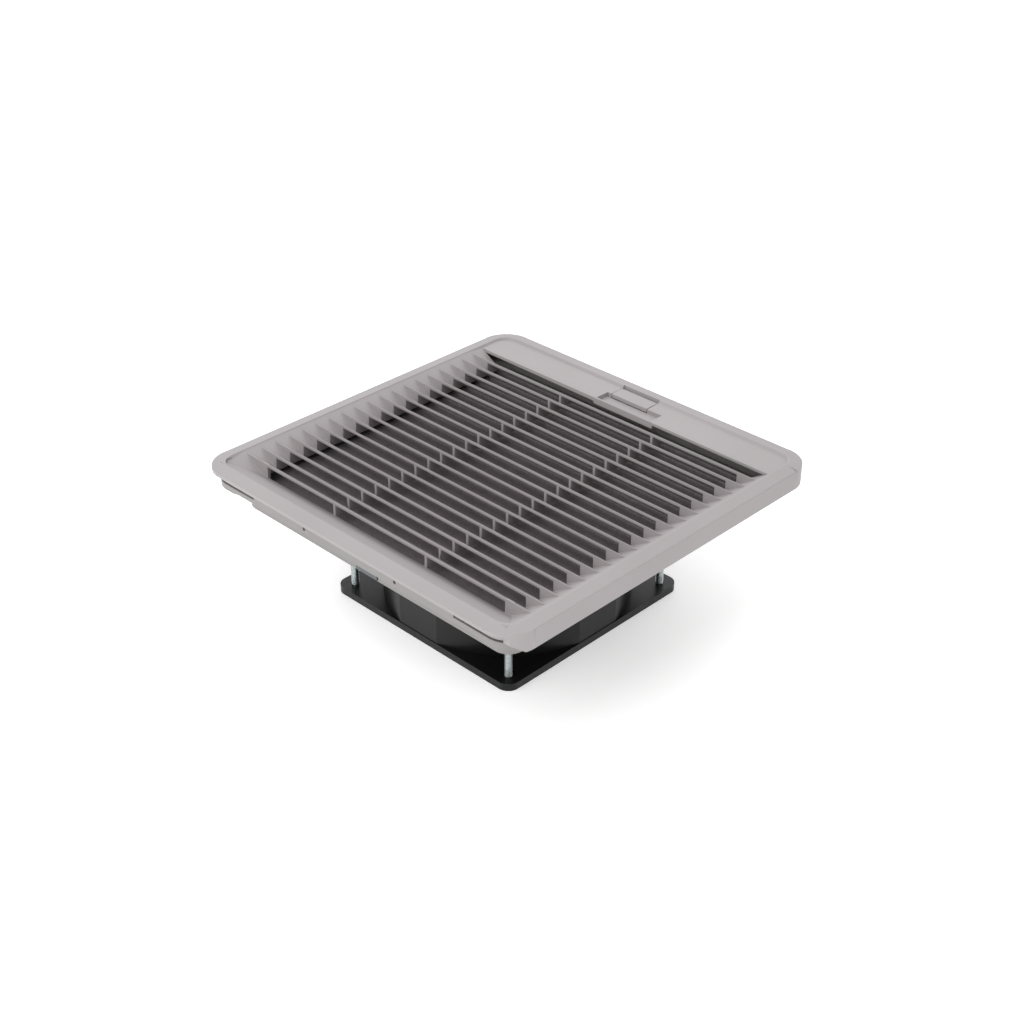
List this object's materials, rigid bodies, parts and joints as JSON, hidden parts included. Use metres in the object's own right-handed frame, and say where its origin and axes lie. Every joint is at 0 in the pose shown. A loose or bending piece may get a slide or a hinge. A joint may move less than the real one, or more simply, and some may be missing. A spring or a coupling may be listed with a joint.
{
  "type": "filter fan",
  "caption": "Panel filter fan: a hinged louvred cover with latch over a filter mat and mounting frame, with a screwed-on axial fan behind.",
  "frame": {"origin": "middle of the fan's rear flange face, the lowest face of the object", "axes": "+Z out of the louvres along the fan's axis, +Y towards the cover's latch, +X along the louvres"},
  "size_m": [0.204, 0.204, 0.073],
  "materials": {
    "cover_plastic": "light grey moulded, fine grain",
    "frame_plastic": "light grey moulded, fine grain",
    "filter_fibre": "dark grey non-woven mat",
    "gasket_foam": "matt black foam",
    "bright_steel": "bright",
    "zinc_steel": "bright zinc plate",
    "bearing_steel": "ground and polished",
    "insert_brass": "plain",
    "black_casting": "black semi-gloss paint on die-cast aluminium",
    "black_steel": "black semi-gloss paint on pressed steel",
    "impeller_plastic": "black moulded",
    "core_steel": "stacked laminations",
    "cage_aluminium": "as cast",
    "bobbin_plastic": "natural moulded",
    "coil_wire": "enamelled copper wire"
  },
  "bodies": {
    "housing": {"base_frame": "frame_plastic", "panel_gasket": "gasket_foam", "panel_clips": "bright_steel", "filter_mat": "filter_fibre", "hinge_pins": "bright_steel", "screw_inserts": "insert_brass", "fan_screws": "zinc_steel", "fan_frame": "black_casting", "bearing_cap": "impeller_plastic", "front_bearing_outer_ring": "bearing_steel", "front_bearing_balls": "bearing_steel", "rear_bearing_outer_ring": "bearing_steel", "rear_bearing_balls": "bearing_steel", "stator_laminations": "core_steel", "coil_bobbins": "bobbin_plastic", "stator_coils": "coil_wire", "terminal_block": "impeller_plastic", "terminal_tabs": "insert_brass"},
    "cover": {"louvre_cover": "cover_plastic", "latch_pin": "bright_steel"},
    "latch": {"cover_latch": "cover_plastic"},
    "rotor": {"impeller": "impeller_plastic", "rotor_cup": "black_steel", "rotor_laminations": "core_steel", "rotor_end_rings": "cage_aluminium", "rotor_shaft": "bright_steel", "shaft_clip": "bright_steel", "preload_spring": "bright_steel", "front_bearing_inner_ring": "bearing_steel", "rear_bearing_inner_ring": "bearing_steel"}
  },
  "joints": [
    {"name": "cover_hinge", "type": "hinge", "parent": "housing", "child": "cover", "pos_m": [0, -0.0966, 0.0677], "axis": [1, 0, 0], "range_deg": [0, 90]},
    {"name": "latch_turn", "type": "hinge", "parent": "cover", "child": "latch", "pos_m": [0.0009, 0.093, 0.0699], "axis": [-1, 0, 0], "range_deg": [0, 12], "stiffness_Nm_per_rad": 0.02},
    {"name": "impeller_spin", "type": "hinge", "parent": "housing", "child": "rotor", "pos_m": [0, 0, 0.02], "axis": [0, 0, 1], "continuous": true}
  ]
}
